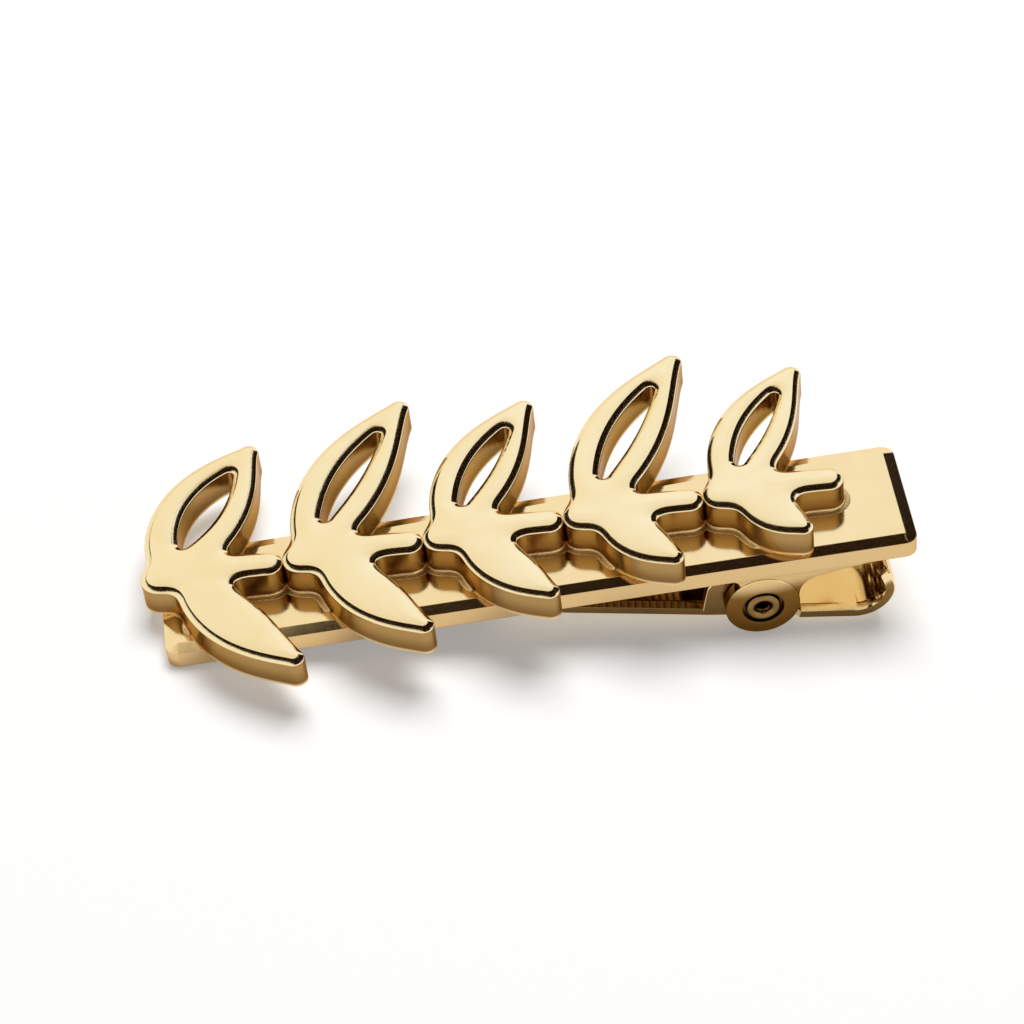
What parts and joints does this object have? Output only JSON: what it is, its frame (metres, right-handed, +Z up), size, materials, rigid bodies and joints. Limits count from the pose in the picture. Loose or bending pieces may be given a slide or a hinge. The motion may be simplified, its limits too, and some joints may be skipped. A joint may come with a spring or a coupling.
{
  "type": "tie clip",
  "caption": "Gold pinch tie clip: bevelled bar with a soldered leaf branch and a sprung jaw lever on a hollow rivet.",
  "frame": {"origin": "centre of the clip's box on the table that it lies on", "axes": "+X along the bar towards the thumb end, +Y across the bar towards the upper leaves' tips, +Z up"},
  "size_m": [0.0498, 0.0226, 0.0093],
  "materials": {
    "polished_gold": "polished pale gold plate on brass",
    "lever_gold": "polished pale gold plate on brass strip",
    "rivet_gold": "rolled brass eyelet, gold plate",
    "cast_gold": "polished casting, pale gold plate",
    "spring_wire": "drawn spring wire"
  },
  "bodies": {
    "clip": {"face_bar": "polished_gold", "hinge_rivet": "rivet_gold", "torsion_spring": "spring_wire", "leaf_sprig_1": "cast_gold", "leaf_sprig_2": "cast_gold", "leaf_sprig_3": "cast_gold", "leaf_sprig_4": "cast_gold", "leaf_sprig_5": "cast_gold"},
    "lever": {"jaw_lever": "lever_gold"}
  },
  "joints": [
    {"name": "jaw_hinge", "type": "hinge", "parent": "clip", "child": "lever", "pos_m": [0.01503, -0.00245, 0.00245], "axis": [0, -1, 0], "range_deg": [0, 14], "stiffness_Nm_per_rad": 0.01, "springref_deg": -20.05, "deforming": ["torsion_spring"]}
  ]
}
